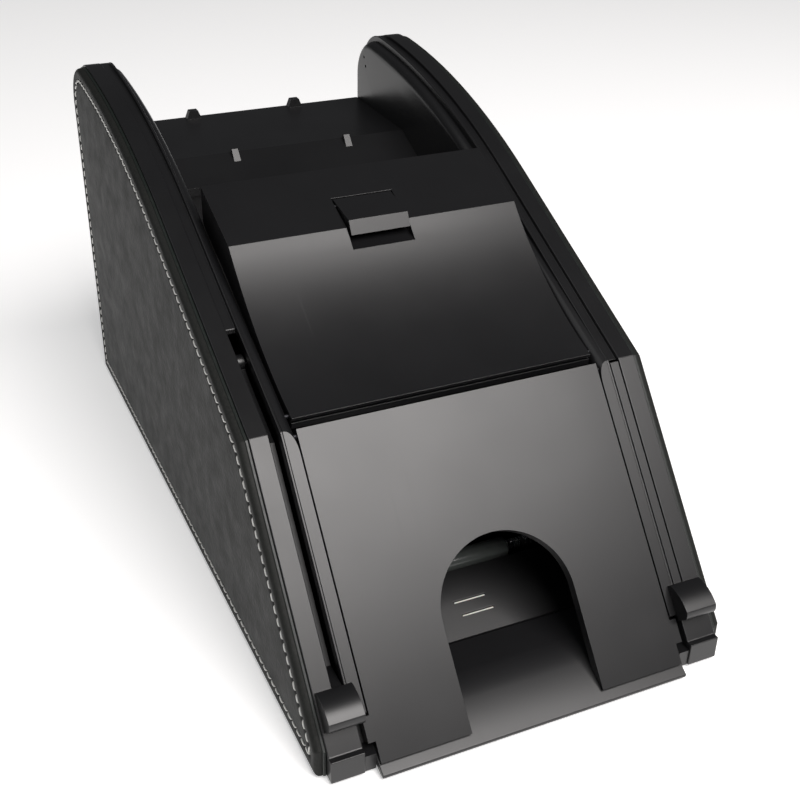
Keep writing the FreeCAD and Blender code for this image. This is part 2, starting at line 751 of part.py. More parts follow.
# ---------------------------------------------------------------- card path
def delivery_tray():
    """The lip under the front plate, which rolls over into the floor behind it."""
    corners = [("0", "1"), ("0", "2"), ("tray_break_back", "tray_break_up"),
               ("tray_crest_back", "tray_crest_up"),
               ("tray_edge_back", "tray_edge_up"), ("tray_edge_back", "tray_edge_up - 3"),
               ("tray_crest_back", "tray_crest_up - 3"),
               ("tray_break_back + 1", "tray_break_up - 2.8"), ("2", "1")]
    slab("delivery_tray", "-inner_face", "2 * inner_face", corners, {1: "-tray_lip_round", 2: "-tray_roll"})


def ramp_front():
    """The ramp's front edge in the side view, just behind the tray."""
    return "tray_edge_back + 0.4", "tray_edge_up + 0.4"


def ramp_top(back):
    """The height of the ramp's top face."""
    front, up = ramp_front()
    rise = f"(ramp_rear_up - ({up})) / (ramp_rear_back - ({front}))"
    return f"{up} + (({back}) - ({front})) * {rise}"


def sensor_slit(step):
    """Where a slit's middle is across the ramp, and where its front edge is."""
    return f"{-step}", f"slit_back + {step} * slit_pitch"


def ramp_plate():
    """The sloping plate in front of the delivery roller, with two sensor slits."""
    front, up = ramp_front()
    corners = [(front, up),
               ("ramp_rear_back", "ramp_rear_up"),
               ("ramp_rear_back + 0.8", "ramp_rear_up - 1.8"),
               (f"{front} + 3", "tray_edge_up - 0.4"),
               (f"{front} + 3", "base_low + base_skin"),
               (front, "base_low + base_skin")]
    body = slab("ramp_plate", "-inner_face", "2 * inner_face", corners)
    for step in (0, 1):
        across, back = sensor_slit(step)
        low, high = f"inner_face + {across} - slit_half", f"inner_face + {across} + slit_half"
        slit = [(low, back), (high, back), (high, f"{back} + slit_wide"), (low, f"{back} + slit_wide")]
        pocket(body, outline(body, "XY_Plane", slit, None, "tray_edge_up - 0.4"), "ramp_rear_up")


def card_tray():
    """The long sloping card path, bent up at the rear as the hopper's wall, with roller windows.

    Its own frame has its origin on the drive line and Y along the path.
    """
    body = new_body("card_tray")
    rear = ("((hopper_wall_back - path_skin - drive_back + path_high * sin(drive_angle))"
            " / cos(drive_angle))")
    tall = (f"(apron_up - deck_skin - drive_up - {rear} * sin(drive_angle)"
            " - path_high * cos(drive_angle))")
    bend = "path_skin * (cos(drive_angle) - (1 - sin(drive_angle)) * tan(drive_angle))"
    corners = [("path_start", "path_high"),
               (rear, "path_high"),
               (f"{rear} + {tall} * sin(drive_angle)", f"path_high + {tall} * cos(drive_angle)"),
               (f"{rear} + {tall} * sin(drive_angle) + path_skin * cos(drive_angle)",
                f"path_high + {tall} * cos(drive_angle) - path_skin * sin(drive_angle)"),
               (f"{rear} + {bend}", "path_high - path_skin"),
               ("path_start", "path_high - path_skin")]
    pad(body, outline(body, "YZ_Plane", corners, None, "-inner_face"), "2 * inner_face")
    for along in (FRONT_FEED_ALONG, REAR_FEED_ALONG):
        for step in (-1, 0, 1):
            low = f"{step} * feed_pitch - feed_wide / 2 - 1"
            high = f"{step} * feed_pitch + feed_wide / 2 + 1"
            window = [(low, f"{along} - feed_radius"), (high, f"{along} - feed_radius"),
                      (high, f"{along} + feed_radius"), (low, f"{along} + feed_radius")]
            below = "path_high - path_skin - 1"
            pocket(body, outline(body, "XY_Plane", window, None, below), "path_skin + 2")
    place(body, "0", "drive_back", "drive_up", (Vector(1, 0, 0), "drive_angle"))


def rear_deck():
    """The flat top at the rear with four small pegs, the slope down from it into the hopper,
    and a flange for the rear panel's screws.
    """
    corners = [("apron_back", "apron_up - deck_skin"),
               ("hopper_wall_back + 1.5", "apron_up - deck_skin"),
               ("deck_front", "deck_up - deck_skin"),
               ("deck_rear", "deck_up - deck_skin"),
               ("deck_rear", "deck_up"),
               ("deck_front", "deck_up"),
               ("apron_back", "apron_up")]
    top = doc.addObject("PartDesign::Body", "DeckTop")
    pad(top, outline(top, "YZ_Plane", corners), "2 * inner_face")
    place(top, "-inner_face")
    flange = box(("-inner_face", "base_rear - 4", "deck_up - 15"),
                 ("inner_face", "base_rear", "deck_up - deck_skin"))
    pegs = []
    for step in (-1, 1):
        pegs.append(peg(f"{step} * peg_across", "deck_rear - 3.4", "6", "3.4", "3", "peg_high"))
        pegs.append(peg(f"{step} * front_peg_across + front_peg_shift", "deck_front - 5.1",
                        "2.6", "2.4", "4.3", "3.9", "3.3", "2.2"))
    holes = [post(f"{step} * panel_screw_across", "base_rear - 5", "deck_up - 9", "panel_screw", "6",
                  (Vector(1, 0, 0), "-90")) for step in (-1, 1)]
    keep("rear_deck", cut(fuse(top, flange, *pegs), *holes))


def peg(across, back, width, top_width, deep, high, lean="0", sunk="0"):
    """A small block on the deck that narrows towards its top, and leans back if asked."""
    thing = doc.addObject("Part::Wedge", "Peg")
    taper = f"(({width}) - ({top_width})) / 2"
    sizes = {"Xmin": "0", "Xmax": width, "X2min": taper, "X2max": f"({width}) - {taper}",
             "Ymin": "0", "Ymax": high, "Zmin": "0", "Zmax": deep, "Z2min": "0",
             "Z2max": f"({deep}) - ({lean})"}
    for name, formula in sizes.items():
        thing.setExpression(name, bound(formula))
    place(thing, f"({across}) - ({width}) / 2", f"({back}) + ({deep})", f"deck_up - ({sunk})",
          (Vector(1, 0, 0), "90"))
    return thing


# ---------------------------------------------------------------- base and rear
def base_pan():
    """The floor with upturned flanges at the sides and the rear, and bosses for the board."""
    floor_up = "base_low + base_skin"
    pieces = [box(("-inner_face", "base_front", "base_low"), ("inner_face", "base_rear", floor_up)),
              box(("-inner_face", "base_rear - 4", floor_up), ("inner_face", "base_rear", "flange_up + 7"))]
    for start, end in (("-inner_face", "flange_skin - inner_face"),
                       ("inner_face - flange_skin", "inner_face")):
        pieces.append(box((start, "base_front + 20", floor_up), (end, "base_rear - 4", "flange_up")))
    for across in ("-35", "11"):
        for back in ("209", "245"):
            pieces.append(post(across, back, floor_up, "2.5", f"board_up - ({floor_up})"))
    holes = [post(f"{step} * panel_screw_across", "base_rear - 5", "14", "panel_screw", "6",
                  (Vector(1, 0, 0), "-90")) for step in (-1, 1)]
    for back, up in SIDE_SCREWS:
        holes.append(rod("-inner_face - 1", back, up, "side_screw", "2 * inner_face + 2"))
    keep("base_pan", cut(fuse(*pieces), *holes))


def rubber_feet():
    feet = [post(f"{step} * 38", back, "0", "foot_radius", "base_low")
            for step in (-1, 1) for back in ("50", "240")]
    group("rubber_feet", feet)


def rear_panel():
    """The upright rear wall with cut-outs for the switch and the inlet, vents and screw holes."""
    wall = box(("-inner_face", "base_rear", "base_low"), ("inner_face", "deck_rear", "deck_up - deck_skin"))
    front, rear = "base_rear - 1", "deck_rear + 1"
    cuts = [box(("switch_across - switch_half_wide", front, "switch_up - switch_half_high"),
                ("switch_across + switch_half_wide", rear, "switch_up + switch_half_high")),
            box(("inlet_across - inlet_half_wide", front, "inlet_up - inlet_half_high"),
                ("inlet_across + inlet_half_wide", rear, "inlet_up + inlet_half_high"))]
    for step in range(7):
        across = f"({step} - 3) * 6 + 20"
        cuts.append(box((f"{across} - 1.2", front, "62"), (f"{across} + 1.2", rear, "86")))
    for step in (-1, 1):
        for up in ("14", "deck_up - 9"):
            cuts.append(post(f"{step} * panel_screw_across", front, up, "panel_screw + 0.2", "5",
                             (Vector(1, 0, 0), "-90")))
    keep("rear_panel", cut(wall, *cuts))


def rear_panel_screws():
    screws = []
    for step in (-1, 1):
        for up in ("14", "deck_up - 9"):
            across = f"{step} * panel_screw_across"
            shank = post(across, "base_rear - 6", up, "panel_screw", "deck_rear - base_rear + 6",
                         (Vector(1, 0, 0), "-90"))
            head = post(across, "deck_rear", up, "2.8", "1.7", (Vector(1, 0, 0), "-90"))
            slots = [box((f"{across} - {wide}", "deck_rear + 0.7", f"{up} - {high}"),
                         (f"{across} + {wide}", "deck_rear + 3", f"{up} + {high}"))
                     for wide, high in ((1.7, 0.3), (0.3, 1.7))]
            screws.append(cut(fuse(shank, head), *slots))
    group("rear_panel_screws", screws)


def power_switch():
    """A rocker in a frame: the frame fills the panel's cut-out and has a flange outside it."""
    front = "deck_rear - 13"

    def block(grow, start, end):
        """A box around the switch's middle, larger than the cut-out by grow on every side."""
        return box((f"switch_across - switch_half_wide - ({grow})", start,
                    f"switch_up - switch_half_high - ({grow})"),
                   (f"switch_across + switch_half_wide + ({grow})", end,
                    f"switch_up + switch_half_high + ({grow})"))

    shell = block("0", front, "deck_rear")
    flange = block("1.5", "deck_rear", "deck_rear + 1.6")
    well = block("-switch_wall", f"{front} + 1.5", "deck_rear + 3")
    axle_hole = rod("switch_across - 9.6", "rocker_back", "switch_up", "1.05", "19.2")
    keep("switch_frame", cut(fuse(shell, flange), well, axle_hole))

    body = new_body("switch_rocker")
    half = "switch_half_wide - switch_wall - 0.3"
    corners = [("-3.5", "-4.5"), ("4.8", "-5.6"), ("3.6", "0"), ("4.8", "5.6"), ("-3.5", "4.5")]
    pad(body, outline(body, "YZ_Plane", corners, None, f"-({half})"), f"2 * ({half})")
    pad(body, circle(body, "YZ_Plane", ("0", "0"), "1", "-9.4"), "18.8")
    place(body, "switch_across", "rocker_back", "switch_up", (Vector(1, 0, 0), "rocker_tilt"))


def power_inlet():
    """A low-voltage inlet with a flat slot, flush with the rear panel."""
    shell = box(("inlet_across - inlet_half_wide", "deck_rear - 10", "inlet_up - inlet_half_high"),
                ("inlet_across + inlet_half_wide", "deck_rear + 0.3", "inlet_up + inlet_half_high"))
    slot = box(("inlet_across - 4.5", "deck_rear - 7", "inlet_up - 1.6"),
               ("inlet_across + 4.5", "deck_rear + 1", "inlet_up + 1.6"))
    tongue = box(("inlet_across - 3.3", "deck_rear - 7.5", "inlet_up - 0.35"),
                 ("inlet_across + 3.3", "deck_rear - 1", "inlet_up + 0.35"))
    keep("power_inlet", fuse(cut(shell, slot), tongue))


def electronics():
    """The control board on its bosses, the parts on it, and the sensor under the ramp's slits."""
    keep("circuit_board", box(("-38", "206", "board_up"), ("14", "248", "board_up + 1.6")))
    top = "board_up + 1.6"
    group("board_components", [box(("-30", "214", top), ("-18", "226", f"{top} + 2")),
                               box(("-8", "230", top), ("6", "238", f"{top} + 8")),
                               box(("-32", "236", top), ("-22", "243", f"{top} + 5")),
                               post("2", "216", top, "4", "11"),
                               post("-10", "214", top, "2.5", "8")])
    floor_up = "base_low + base_skin"
    sensor = [box(("-9", "slit_back - 1.5", floor_up),
                  ("9", "slit_back + slit_pitch + 2", f"{floor_up} + 2.6"))]
    for step in (0, 1):
        across, back = sensor_slit(step)
        sensor.append(box((f"{across} - slit_half + 0.2", f"{back} + 0.15", floor_up),
                          (f"{across} + slit_half - 0.2", f"{back} + 0.15 + light_guide", ramp_top(back))))
    keep("card_sensor", fuse(*sensor))


# ---------------------------------------------------------------- drive train
def gear(label, kind, centre, phase, bore_radius):
    """A spur gear with straight-sided teeth, turned so that it meshes with its neighbours."""
    teeth = TEETH[kind]
    pitch_radius = f"tooth_size * {teeth / 2}"
    body = new_body(label)
    pad(body, circle(body, "YZ_Plane", ("0", "0"), f"{pitch_radius} - 1.2 * tooth_size"), "gear_wide")
    half_pitch = f"(tooth_size * {math.pi / 4:.5f} - tooth_slack)"
    tip = f"({half_pitch} - 0.9 * tooth_size * tan(20))"
    root = f"({half_pitch} + 1.2 * tooth_size * tan(20))"
    inner = f"{pitch_radius} - 2 * tooth_size"
    outer = f"{pitch_radius} + 0.9 * tooth_size"
    tooth = pad(body, outline(body, "YZ_Plane", [(inner, f"-{root}"), (outer, f"-{tip}"),
                                                 (outer, tip), (inner, root)]), "gear_wide")
    doc.recompute()
    pattern = body.newObject("PartDesign::PolarPattern", "Teeth")
    pattern.Originals = [tooth]
    axis = next(f for f in body.Origin.OriginFeatures if f.Role == "X_Axis")
    pattern.Axis = (axis, [""])
    pattern.Angle = 360
    pattern.Occurrences = teeth
    body.Tip = pattern
    pocket(body, circle(body, "YZ_Plane", ("0", "0"), bore_radius, "-1"), "gear_wide + 2")
    place(body, "gear_inner", *centre, (Vector(1, 0, 0), str(phase)))


def meshed_phase(phase, kind, other, direction):
    """The turn of a gear that meshes with one already placed, in the given direction from it."""
    return direction + 180 - (phase - direction) * TEETH[kind] / TEETH[other] - 180 / TEETH[other]


def gears():
    """The train: motor pinion, rear feed, idler, front feed, idler, delivery roller."""
    along = value("drive_angle")
    front_feed = 0.0
    front_idler = meshed_phase(front_feed, "feed", "idler", along + 180)
    delivery = meshed_phase(front_idler, "idler", "delivery", value("roller_angle") + 180)
    rear_idler = meshed_phase(front_feed, "feed", "idler", along)
    rear_feed = meshed_phase(rear_idler, "idler", "feed", along)
    pinion = meshed_phase(rear_feed, "feed", "pinion", -value("motor_drop"))
    gear("delivery_gear", "delivery", ROLLER, delivery, "roller_shaft")
    gear("front_idler_gear", "idler", FRONT_IDLER, front_idler, "idler_pin + running_gap")
    gear("front_feed_gear", "feed", FRONT_FEED, front_feed, "feed_shaft")
    gear("rear_idler_gear", "idler", REAR_IDLER, rear_idler, "idler_pin + running_gap")
    gear("rear_feed_gear", "feed", REAR_FEED, rear_feed, "feed_shaft")
    gear("motor_pinion", "pinion", MOTOR, pinion, "motor_shaft")


def rollers():
    """Three shafts in bushes, the delivery roller's sleeve, and the feed shafts' rubber tyres."""
    shaft_end = "gear_inner + gear_wide + 0.6"
    for name, (centre, radius, _) in SHAFTS.items():
        shaft = rod("0.2 - housing_face", *centre, radius, f"housing_face - 0.2 + {shaft_end}")
        keep(f"{name}_shaft", shaft)
    keep("delivery_roller", cut(rod("-roller_half", *ROLLER, "roller_radius", "2 * roller_half"),
                                rod("-roller_half - 1", *ROLLER, "roller_shaft", "2 * roller_half + 2")))
    for name in ("front_feed", "rear_feed"):
        centre = SHAFTS[name][0]
        tyres = []
        for step in (-1, 0, 1):
            start = f"{step} * feed_pitch - feed_wide / 2"
            tyres.append(cut(rod(start, *centre, "feed_radius", "feed_wide"),
                             rod(f"{start} - 1", *centre, "feed_shaft", "feed_wide + 2")))
        group(f"{name}_tyres", tyres)
    bushes = []
    for centre, radius, bush in SHAFTS.values():
        for start in ("-housing_face", "inner_face"):
            bushes.append(cut(rod(start, *centre, bush, "plate_skin"),
                              rod(f"{start} - 1", *centre, f"{radius} + running_gap", "plate_skin + 2")))
    group("shaft_bushes", bushes)
    pin_long = "gear_inner + gear_wide + 0.4 - inner_face"
    group("idler_pins", [rod("inner_face", *centre, "idler_pin", pin_long)
                         for centre in (FRONT_IDLER, REAR_IDLER)])


def motor_screw(turn):
    """The centre of one of the motor's two screws."""
    return MOTOR[0], f"({MOTOR[1]} + {turn} * 8.5)"


def motor():
    """The motor on its bracket, its shaft, and the screws through the side plate."""
    can_start = "inner_face - 1.5 - motor_long"
    can = fuse(rod(can_start, *MOTOR, "motor_radius", "motor_long"),
               rod(f"{can_start} - 1.5", *MOTOR, "5", "2"),
               rod("inner_face - 2", *MOTOR, "motor_boss", "plate_skin + 2"))
    screws = [motor_screw(turn) for turn in (-1, 1)]
    holes = [rod(f"{can_start} + 2", *screw, "motor_screw", "motor_long") for screw in screws]
    shaft_hole = rod("inner_face - 9", *MOTOR, "motor_shaft + running_gap", "20")
    keep("motor", cut(can, shaft_hole, *holes))
    shaft_long = "gear_inner + gear_wide + 9 - inner_face"
    keep("motor_shaft", rod("inner_face - 8.5", *MOTOR, "motor_shaft", shaft_long))
    plate = box(("inner_face - 1.5", f"{MOTOR[0]} - bracket_half", f"{MOTOR[1]} - bracket_half"),
                ("inner_face", f"{MOTOR[0]} + bracket_half", f"{MOTOR[1]} + bracket_half"))
    boss_hole = rod("inner_face - 3", *MOTOR, "motor_boss + 0.1", "6")
    keep("motor_bracket", cut(plate, boss_hole,
                              *[rod("inner_face - 3", *screw, "motor_screw", "6") for screw in screws]))
    shank_long = "housing_face + 6 - inner_face"
    group("motor_screws", [fuse(rod("inner_face - 6", *screw, "motor_screw", shank_long),
                                rod("housing_face", *screw, "2.2", "1.4")) for screw in screws])


def tie_rods():
    """Two rods that hold the side plates apart, with thinner ends seated in them."""
    rods = [fuse(rod("-inner_face", *centre, "tie_radius", "2 * inner_face"),
                 rod("-housing_face", *centre, "tie_end", "2 * housing_face")) for centre in TIE_RODS]
    group("tie_rods", rods)


def side_screws():
    """The screws that fasten the base pan's flanges to the side plates."""
    screws = []
    shank = "plate_skin + flange_skin"
    for centre in SIDE_SCREWS:
        for shank_start, head_start in (("-housing_face", "flange_skin - inner_face"),
                                        ("inner_face - flange_skin", "inner_face - flange_skin - 1.8")):
            screws.append(fuse(rod(shank_start, *centre, "side_screw", shank),
                               rod(head_start, *centre, "2.8", "1.8")))
    group("side_screws", screws)


# ---------------------------------------------------------------- the whole machine
def build():
    for side in ("left", "right"):
        inner_side_plate(side)
        side_housing(side)
        backing_board(side)
        leather_panel(side)
        catch_lever(side)
    front_plate()
    lid()
    latch_tab()
    pins()
    delivery_tray()
    ramp_plate()
    card_tray()
    rear_deck()
    base_pan()
    rubber_feet()
    rear_panel()
    rear_panel_screws()
    power_switch()
    power_inlet()
    electronics()
    gears()
    rollers()
    motor()
    tie_rods()
    side_screws()


def check_document():
    """Raises if any object failed, because recompute() itself doesn't."""
    for thing in doc.Objects:
        if "Invalid" in thing.State or "Error" in thing.State:
            raise RuntimeError(f"{thing.Label} ({thing.Name}) is {thing.State}")
    for label, thing in NODES.items():
        if thing.Shape.isNull() or not thing.Shape.isValid():
            raise RuntimeError(f"{label} has no valid shape")


build()
doc.recompute()
check_document()
os.makedirs("parts", exist_ok=True)
for label, thing in NODES.items():
    thing.Shape.exportStep(f"parts/{label}.step")
print(f"{len(NODES)} pieces")
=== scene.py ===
"""The looks of the automatic card shuffler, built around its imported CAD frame.

Metres, in the frame's own axes: +Z up, +Y to the rear, +X to the right seen from the front.
"""

import json
import math
import random
from itertools import accumulate

import bmesh
import bpy
from mathutils import Matrix, Vector
from mathutils.geometry import delaunay_2d_cdt

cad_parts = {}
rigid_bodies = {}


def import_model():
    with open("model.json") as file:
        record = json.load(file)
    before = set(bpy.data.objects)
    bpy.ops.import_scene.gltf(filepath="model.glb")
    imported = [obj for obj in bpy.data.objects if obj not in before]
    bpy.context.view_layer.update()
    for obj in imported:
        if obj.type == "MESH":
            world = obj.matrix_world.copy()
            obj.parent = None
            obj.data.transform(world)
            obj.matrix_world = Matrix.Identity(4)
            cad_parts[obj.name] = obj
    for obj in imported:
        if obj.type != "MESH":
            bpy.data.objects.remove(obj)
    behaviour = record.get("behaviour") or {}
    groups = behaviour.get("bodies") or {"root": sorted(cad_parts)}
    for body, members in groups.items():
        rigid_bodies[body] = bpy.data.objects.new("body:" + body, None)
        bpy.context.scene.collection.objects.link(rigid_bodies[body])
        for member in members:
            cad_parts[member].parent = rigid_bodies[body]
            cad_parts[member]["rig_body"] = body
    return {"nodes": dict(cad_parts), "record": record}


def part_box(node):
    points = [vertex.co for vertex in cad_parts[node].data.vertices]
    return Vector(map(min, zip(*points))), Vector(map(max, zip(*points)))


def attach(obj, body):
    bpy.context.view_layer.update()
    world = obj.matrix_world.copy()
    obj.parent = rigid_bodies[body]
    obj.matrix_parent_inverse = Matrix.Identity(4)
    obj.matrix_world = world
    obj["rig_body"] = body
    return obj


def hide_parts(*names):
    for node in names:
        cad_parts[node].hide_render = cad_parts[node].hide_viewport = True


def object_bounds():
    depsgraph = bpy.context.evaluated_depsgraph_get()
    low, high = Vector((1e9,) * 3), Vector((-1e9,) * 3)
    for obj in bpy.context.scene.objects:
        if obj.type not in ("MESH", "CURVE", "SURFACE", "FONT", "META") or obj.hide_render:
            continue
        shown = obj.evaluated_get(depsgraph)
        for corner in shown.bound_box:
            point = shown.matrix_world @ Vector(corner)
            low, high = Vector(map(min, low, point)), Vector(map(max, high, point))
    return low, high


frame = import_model()
cad_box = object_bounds()

MM = 0.001
CAD_NODES = frame["nodes"]
SIDES = {"left": -1, "right": 1}


# ---------------------------------------------------------------- material tools
# The spans of a noise texture's values that patterns are stretched from.
MOST_NOISE = (0.3, 0.7)
MIDDLE_NOISE = (0.35, 0.65)


class Look:
    """A Principled material, with short calls for the nodes that it is made from."""

    def __init__(self, name, **sockets):
        self.material = bpy.data.materials.new(name)
        self.material.use_nodes = True
        self.nodes = self.material.node_tree.nodes
        self.links = self.material.node_tree.links
        self.shader = self.nodes["Principled BSDF"]
        self.place = self.add("TexCoord", {}, output="Object")
        self.set(**sockets)

    def join(self, value, socket):
        """Links an output to a socket, or sets a plain value on it. A plain colour is opaque."""
        if isinstance(value, bpy.types.NodeSocket):
            self.links.new(value, socket)
        elif socket.type == "RGBA":
            socket.default_value = (*value, 1)
        else:
            socket.default_value = value

    def set(self, **sockets):
        """Sets the shader's sockets by name, such as coat_weight."""
        for name, value in sockets.items():
            found = next(s for s in self.shader.inputs if s.name.lower() == name.replace("_", " "))
            self.join(value, found)

    def add(self, kind, inputs, output=0, **settings):
        """A new node with its inputs joined; returns one of its outputs."""
        node = self.nodes.new("ShaderNode" + kind)
        for name, value in settings.items():
            setattr(node, name, value)
        for key, value in inputs.items():
            self.join(value, node.inputs[key])
        return node.outputs[output]

    def stretched(self, scale, turn=(0, 0, 0)):
        """The object's own coordinates, turned and scaled."""
        return self.add("Mapping", {"Vector": self.place, "Rotation": turn, "Scale": scale})

    def noise(self, size, detail=2.0, place=None):
        """Noise with lumps of about the given size in metres."""
        return self.add("TexNoise", {"Vector": place or self.place, "Scale": 1 / size,
                                     "Detail": detail, "Roughness": 0.55})

    def cells(self, size, feature="F1", place=None):
        """The distance in a pattern of cells of about the given size in metres."""
        return self.add("TexVoronoi", {"Vector": place or self.place, "Scale": 1 / size},
                        output="Distance", feature=feature)

    def remap(self, value, old, new):
        """The value, taken from the range old to the range new and held inside it."""
        return self.add("MapRange", {"Value": value, "From Min": old[0], "From Max": old[1],
                                     "To Min": new[0], "To Max": new[1]})

    def maths(self, operation, first, second):
        """The sum, product or other result of two values."""
        return self.add("Math", {0: first, 1: second}, operation=operation)

    def vector_maths(self, operation, first, second):
        """The sum or product of two vectors."""
        return self.add("VectorMath", {0: first, 1: second}, operation=operation)

    def tint(self, amount, low, high):
        """A colour between two others."""
        return self.add("Mix", {0: amount, 6: low, 7: high}, output=2, data_type="RGBA")

    def mottle(self, pattern, span, colour, low, high):
        """The colour times low, up to the colour times high, as a pattern crosses a span of values."""
        return self.tint(self.remap(pattern, span, (0, 1)), shade(colour, low), shade(colour, high))

    def bump(self, height, distance, strength=1.0, below=None):
        """A normal roughened by height; below is the normal of a coarser layer."""
        inputs = {"Height": height, "Distance": distance, "Strength": strength}
        if below:
            inputs["Normal"] = below
        return self.add("Bump", inputs)

    def edges(self, radius):
        """Near 1 at the object's edges, and 0 on its faces."""
        rounded = self.add("Bevel", {"Radius": radius}, samples=4)
        plain = self.add("NewGeometry", {}, output="True Normal")
        aligned = self.add("VectorMath", {0: rounded, 1: plain}, output="Value", operation="DOT_PRODUCT")
        on_face, on_edge = 0.98, 0.8
        return self.remap(aligned, (on_face, on_edge), (0, 1))


def shade(colour, factor):
    """A colour made darker or lighter."""
    return tuple(channel * factor for channel in colour)


# ---------------------------------------------------------------- materials
def moulded_plastic(name, colour, roughness, texture=0.003):
    """Moulded plastic: fine spark-eroded texture, faint sheen changes, and edges rubbed lighter."""
    look = Look(name, ior=1.5)
    body = look.mottle(look.noise(28 * MM, detail=3), MIDDLE_NOISE, colour, 0.9, 1.1)
    handled = look.remap(look.noise(6 * MM), (0.4, 0.7), (0, 0.4))
    rubbed = look.maths("MULTIPLY", look.edges(0.5 * MM), handled)
    worn = look.tint(rubbed, body, shade(colour, 2.0))
    smear = look.remap(look.noise(22 * MM, detail=4), MOST_NOISE, (roughness - 0.02, roughness + 0.02))
    spark = look.noise(0.5 * MM, detail=2)
    look.set(base_color=worn, roughness=smear, normal=look.bump(spark, texture * MM))
    return look.material


def scratched_plastic(name, colour, roughness):
    """Smooth satin plastic with the hairline scratches that cards and hands leave on it."""
    look = Look(name, ior=1.5)
    body = look.mottle(look.noise(35 * MM, detail=3), MIDDLE_NOISE, colour, 0.92, 1.08)
    smear = look.remap(look.noise(25 * MM, detail=4), MOST_NOISE, (roughness - 0.015, roughness + 0.015))
    scratches = None
    for turn, length in ((0.12, 90), (-0.5, 60), (1.3, 70)):
        drawn_out = look.stretched((1, 1 / length, 1 / length), (turn, 0, turn))
        lines = look.noise(0.7 * MM, detail=0, place=drawn_out)
        thin = look.remap(lines, (0.80, 0.86), (0, 1))
        scratches = look.maths("MAXIMUM", scratches, thin) if scratches else thin
    rough = look.maths("ADD", smear, look.maths("MULTIPLY", scratches, 0.04))
    fine = look.bump(look.noise(0.4 * MM, detail=1), 0.0015 * MM)
    look.set(base_color=body, roughness=rough, normal=look.bump(scratches, -0.0012 * MM, below=fine))
    return look.material


def leather(name, colour):
    """Pebbled leather: small uneven grains with shade painted into their creases, and a slow change of
    tone.
    """
    look = Look(name, ior=1.45, specular_ior_level=0.16)
    grain_size = 1.15 * MM
    uneven = look.add("TexNoise", {"Vector": look.place, "Scale": 1 / (1.6 * MM)}, output="Color")
    push = look.vector_maths("MULTIPLY", uneven, (0.35 * MM,) * 3)
    drift = look.vector_maths("ADD", look.place, push)
    grain = look.cells(grain_size, feature="SMOOTH_F1", place=drift)
    crease = look.cells(grain_size, feature="DISTANCE_TO_EDGE", place=drift)
    pores = look.noise(0.28 * MM, detail=2)
    tone = look.mottle(look.noise(24 * MM, detail=4), MOST_NOISE, colour, 0.94, 1.06)
    # Painted shade: the colour darkens towards the edges of the grain's cells, where its creases lie.
    dark = look.tint(look.remap(crease, (0.0, 0.12), (0.45, 0.0)), tone, shade(colour, 0.45))
    rough = look.remap(look.noise(7 * MM, detail=3), MOST_NOISE, (0.5, 0.62))
    coarse = look.bump(look.remap(grain, (0.0, 0.7), (1.0, 0.0)), 0.12 * MM, 0.55)
    look.set(base_color=dark, roughness=rough, normal=look.bump(pores, 0.02 * MM, 0.6, below=coarse))
    return look.material


def thread(name, colour):
    """Waxed sewing thread, with the twist of its strands along each stitch."""
    look = Look(name, ior=1.5, roughness=0.62, sheen_weight=0.25)
    along = look.add("TexCoord", {}, output="UV")
    twist = look.add("TexWave", {"Vector": along, "Scale": 1.0, "Distortion": 0.4}, output="Fac",
                     bands_direction="DIAGONAL")
    tone = look.mottle(look.noise(0.15 * MM, detail=3), MOST_NOISE, colour, 0.8, 1.1)
    look.set(base_color=tone, normal=look.bump(twist, 0.08 * MM, 0.7))
    return look.material


def board_edge(name, colour):
    """Pressed fibre board, seen on edge as fine layers."""
    look = Look(name, ior=1.45)
    layers = look.noise(0.22 * MM, detail=2, place=look.stretched((1, 0.04, 0.04)))
    fibres = look.noise(1.6 * MM, detail=4)
    body = look.tint(layers, shade(colour, 0.6), shade(colour, 1.5))
    look.set(base_color=body, roughness=look.remap(fibres, MOST_NOISE, (0.36, 0.5)),
             normal=look.bump(layers, 0.01 * MM))
    return look.material


def soft_rubber(name, colour, roughness):
    """Matt rubber with a fine skin and a little dust."""
    look = Look(name, ior=1.48)
    skin = look.noise(0.35 * MM, detail=3)
    dust = look.noise(5 * MM, detail=5)
    body = look.mottle(dust, (0.45, 0.75), colour, 1.0, 1.5)
    rough = look.remap(dust, MOST_NOISE, (roughness - 0.08, roughness + 0.08))
    look.set(base_color=body, roughness=rough, normal=look.bump(skin, 0.02 * MM))
    return look.material


def ground_sleeve(name, colour):
    """A smooth roller sleeve with faint turning marks round it."""
    look = Look(name, ior=1.5)
    marks = look.noise(0.3 * MM, detail=2, place=look.stretched((1, 0.02, 0.02)))
    body = look.mottle(look.noise(9 * MM, detail=4), (0.35, 0.7), colour, 0.8, 1.0)
    look.set(base_color=body, roughness=look.remap(marks, MOST_NOISE, (0.16, 0.24)),
             normal=look.bump(marks, 0.003 * MM))
    return look.material


def turned_metal(name, colour, roughness):
    """Metal with the fine marks of turning round its X axis."""
    look = Look(name, metallic=1.0)
    marks = look.noise(0.25 * MM, detail=3, place=look.stretched((1, 0.03, 0.03)))
    body = look.mottle(look.noise(6 * MM, detail=4), MOST_NOISE, colour, 0.8, 1.05)
    rough = look.remap(marks, MOST_NOISE, (roughness - 0.07, roughness + 0.1))
    look.set(base_color=body, roughness=rough, normal=look.bump(marks, 0.006 * MM))
    return look.material


def sintered_bronze(name, colour):
    """Porous bearing bronze, dark where oil sits in its pores."""
    look = Look(name, metallic=1.0)
    pores = look.cells(0.25 * MM)
    body = look.mottle(pores, (0.1, 0.5), colour, 0.5, 1.0)
    look.set(base_color=body, roughness=look.remap(pores, (0.1, 0.6), (0.3, 0.5)),
             normal=look.bump(pores, -0.015 * MM))
    return look.material


